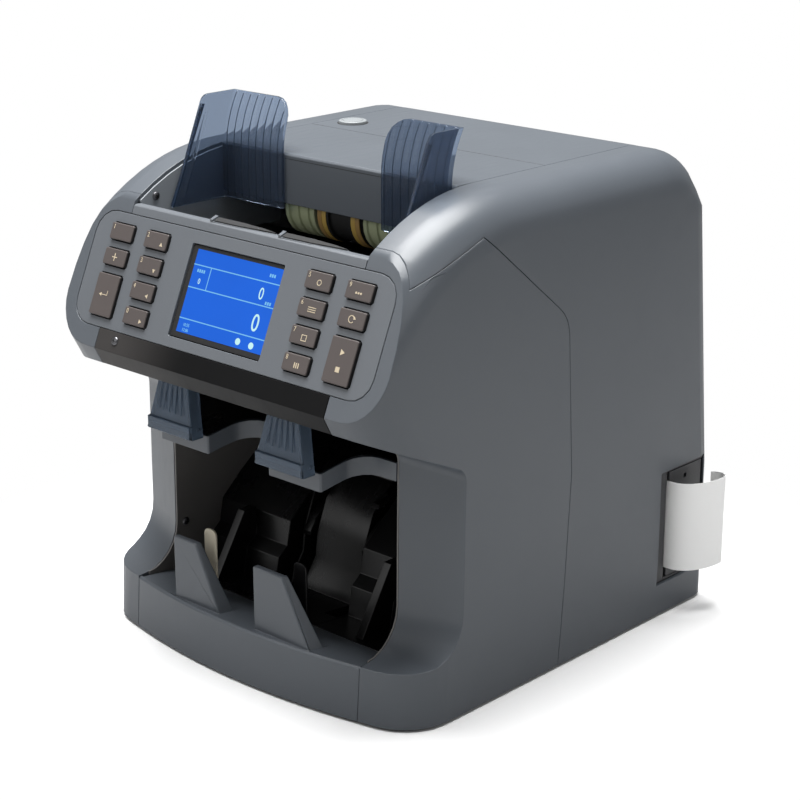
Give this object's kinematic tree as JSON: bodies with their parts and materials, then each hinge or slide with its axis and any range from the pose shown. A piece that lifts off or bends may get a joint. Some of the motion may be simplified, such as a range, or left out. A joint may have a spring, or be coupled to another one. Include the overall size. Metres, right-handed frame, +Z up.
{
  "type": "banknote sorter",
  "caption": "Desktop banknote sorter: top hopper with sliding guides, sloped keypad and display, reject pocket, stacker pocket with impellers, opening rear cover and side receipt printer.",
  "frame": {"origin": "middle of the flat underside, on the ground", "axes": "+Z up, +X to the right seen from the front, the keypad and pockets face -Y"},
  "size_m": [0.285, 0.3092, 0.3235],
  "materials": {
    "body": "satin dark grey moulded plastic",
    "panel": "satin mid grey moulded plastic",
    "dark": "fine-textured dark grey plastic",
    "black": "glossy black plastic",
    "keycap": "fine-textured brown-grey plastic",
    "screen": "glossy lit blue display",
    "smoke": "smoky blue transparent plastic",
    "green_rubber": "ground pale green rubber",
    "black_rubber": "matt black rubber with tan rings",
    "steel": "plated sheet steel",
    "shaft_steel": "ground steel",
    "beige": "satin cream plastic",
    "paper": "plain white thermal paper",
    "button_white": "satin light grey plastic",
    "board": "green laminate board"
  },
  "bodies": {
    "machine": {"base_pan": "body", "front_skirt": "body", "note_stop_plate": "body", "left_front_housing": "body", "right_front_housing": "body", "left_rear_housing": "body", "right_rear_housing": "body", "hopper_cover": "body", "hopper_lip": "panel", "hopper_floor": "black", "left_hopper_side": "body", "right_hopper_side": "body", "keypad_plate": "panel", "display_module": "screen", "hood_liner": "dark", "left_pocket_liner": "dark", "right_pocket_liner": "dark", "stacker_housing": "black", "reject_tray": "black", "reject_trim": "body", "left_stack_blade": "beige", "right_stack_blade": "beige", "printer_frame": "dark", "left_side_frame": "steel", "right_side_frame": "steel", "power_inlet": "black", "main_motor": "steel", "main_board": "board"},
    "back_cover": {"rear_cover": "body"},
    "release_button": {"cover_release_button": "button_white"},
    "left_guide": {"left_hopper_guide": "smoke"},
    "right_guide": {"right_hopper_guide": "smoke"},
    "feed_rollers": {"feed_shaft": "shaft_steel", "left_feed_wheel": "green_rubber", "right_feed_wheel": "green_rubber", "separator_roller": "black_rubber"},
    "transport": {"transport_roller": "black_rubber"},
    "stacker": {"stacker_shaft": "shaft_steel", "left_stacker_wheel": "black", "right_stacker_wheel": "black"},
    "left_stop": {"left_reject_stop": "smoke"},
    "right_stop": {"right_reject_stop": "smoke"},
    "paper_door": {"printer_door": "dark", "paper_strip": "paper"},
    "roll": {"paper_roll": "paper"},
    "rocker": {"power_switch": "black"},
    "key_1_cap": {"key_1": "keycap"},
    "key_2_cap": {"key_2": "keycap"},
    "key_3_cap": {"key_3": "keycap"},
    "key_4_cap": {"key_4": "keycap"},
    "key_5_cap": {"key_5": "keycap"},
    "key_6_cap": {"key_6": "keycap"},
    "key_7_cap": {"key_7": "keycap"},
    "key_8_cap": {"key_8": "keycap"},
    "key_9_cap": {"key_9": "keycap"},
    "key_0_cap": {"key_0": "keycap"},
    "key_add_cap": {"key_add": "keycap"},
    "key_set_cap": {"key_set": "keycap"},
    "key_auto_cap": {"key_auto": "keycap"},
    "key_start_cap": {"key_start": "keycap"}
  },
  "joints": [
    {"name": "key_1_press", "type": "slide", "parent": "machine", "child": "key_1_cap", "axis": [0, 0.9178, -0.3971], "range_m": [0, 0.0012], "stiffness_N_per_m": 300, "springref_m": -0.0008},
    {"name": "key_2_press", "type": "slide", "parent": "machine", "child": "key_2_cap", "axis": [0, 0.9178, -0.3971], "range_m": [0, 0.0012], "stiffness_N_per_m": 300, "springref_m": -0.0008},
    {"name": "key_3_press", "type": "slide", "parent": "machine", "child": "key_3_cap", "axis": [0, 0.9178, -0.3971], "range_m": [0, 0.0012], "stiffness_N_per_m": 300, "springref_m": -0.0008},
    {"name": "key_4_press", "type": "slide", "parent": "machine", "child": "key_4_cap", "axis": [0, 0.9178, -0.3971], "range_m": [0, 0.0012], "stiffness_N_per_m": 300, "springref_m": -0.0008},
    {"name": "key_5_press", "type": "slide", "parent": "machine", "child": "key_5_cap", "axis": [0, 0.9178, -0.3971], "range_m": [0, 0.0012], "stiffness_N_per_m": 300, "springref_m": -0.0008},
    {"name": "key_6_press", "type": "slide", "parent": "machine", "child": "key_6_cap", "axis": [0, 0.9178, -0.3971], "range_m": [0, 0.0012], "stiffness_N_per_m": 300, "springref_m": -0.0008},
    {"name": "key_7_press", "type": "slide", "parent": "machine", "child": "key_7_cap", "axis": [0, 0.9178, -0.3971], "range_m": [0, 0.0012], "stiffness_N_per_m": 300, "springref_m": -0.0008},
    {"name": "key_8_press", "type": "slide", "parent": "machine", "child": "key_8_cap", "axis": [0, 0.9178, -0.3971], "range_m": [0, 0.0012], "stiffness_N_per_m": 300, "springref_m": -0.0008},
    {"name": "key_9_press", "type": "slide", "parent": "machine", "child": "key_9_cap", "axis": [0, 0.9178, -0.3971], "range_m": [0, 0.0012], "stiffness_N_per_m": 300, "springref_m": -0.0008},
    {"name": "key_0_press", "type": "slide", "parent": "machine", "child": "key_0_cap", "axis": [0, 0.9178, -0.3971], "range_m": [0, 0.0012], "stiffness_N_per_m": 300, "springref_m": -0.0008},
    {"name": "key_add_press", "type": "slide", "parent": "machine", "child": "key_add_cap", "axis": [0, 0.9178, -0.3971], "range_m": [0, 0.0012], "stiffness_N_per_m": 300, "springref_m": -0.0008},
    {"name": "key_set_press", "type": "slide", "parent": "machine", "child": "key_set_cap", "axis": [0, 0.9178, -0.3971], "range_m": [0, 0.0012], "stiffness_N_per_m": 300, "springref_m": -0.0008},
    {"name": "key_auto_press", "type": "slide", "parent": "machine", "child": "key_auto_cap", "axis": [0, 0.9178, -0.3971], "range_m": [0, 0.0012], "stiffness_N_per_m": 300, "springref_m": -0.0008},
    {"name": "key_start_press", "type": "slide", "parent": "machine", "child": "key_start_cap", "axis": [0, 0.9178, -0.3971], "range_m": [0, 0.0012], "stiffness_N_per_m": 300, "springref_m": -0.0008},
    {"name": "right_guide_slide", "type": "slide", "parent": "machine", "child": "right_guide", "axis": [1, 0, 0], "range_m": [-0.034, 0.001]},
    {"name": "left_guide_slide", "type": "slide", "parent": "machine", "child": "left_guide", "axis": [-1, 0, 0], "range_m": [-0.034, 0.001]},
    {"name": "feed_spin", "type": "hinge", "parent": "machine", "child": "feed_rollers", "pos_m": [0, -0.035, 0.2595], "axis": [1, 0, 0], "continuous": true},
    {"name": "transport_spin", "type": "hinge", "parent": "machine", "child": "transport", "pos_m": [0, 0.045, 0.2], "axis": [1, 0, 0], "continuous": true},
    {"name": "stacker_spin", "type": "hinge", "parent": "machine", "child": "stacker", "pos_m": [0, -0.015, 0.062], "axis": [1, 0, 0], "continuous": true},
    {"name": "back_cover_hinge", "type": "hinge", "parent": "machine", "child": "back_cover", "pos_m": [0, 0.1395, 0.082], "axis": [-1, 0, 0], "range_deg": [0, 75]},
    {"name": "release_press", "type": "slide", "parent": "back_cover", "child": "release_button", "axis": [0, 0, -1], "range_m": [0, 0.001], "stiffness_N_per_m": 400, "springref_m": -0.0008},
    {"name": "left_stop_hinge", "type": "hinge", "parent": "machine", "child": "left_stop", "pos_m": [-0.04545, -0.1412, 0.1458], "axis": [1, 0, 0], "range_deg": [0, 75]},
    {"name": "right_stop_hinge", "type": "hinge", "parent": "machine", "child": "right_stop", "pos_m": [0.04545, -0.1412, 0.1458], "axis": [1, 0, 0], "range_deg": [0, 75]},
    {"name": "paper_door_hinge", "type": "hinge", "parent": "machine", "child": "paper_door", "pos_m": [0.1284, 0.1365, 0.059], "axis": [0, 0, 1], "range_deg": [0, 80]},
    {"name": "roll_spin", "type": "hinge", "parent": "machine", "child": "roll", "pos_m": [0.113, 0.1189, 0.059], "axis": [0, 0, 1], "continuous": true},
    {"name": "rocker_tip", "type": "hinge", "parent": "machine", "child": "rocker", "pos_m": [0.022, 0.14385, 0.034], "axis": [1, 0, 0], "range_deg": [-18, 0]}
  ],
  "couplings": [
    {"joint": "left_guide_slide", "follows": "right_guide_slide", "ratio": 1},
    {"joint": "transport_spin", "follows": "feed_spin", "ratio": 1.3071},
    {"joint": "stacker_spin", "follows": "feed_spin", "ratio": 0.5}
  ]
}
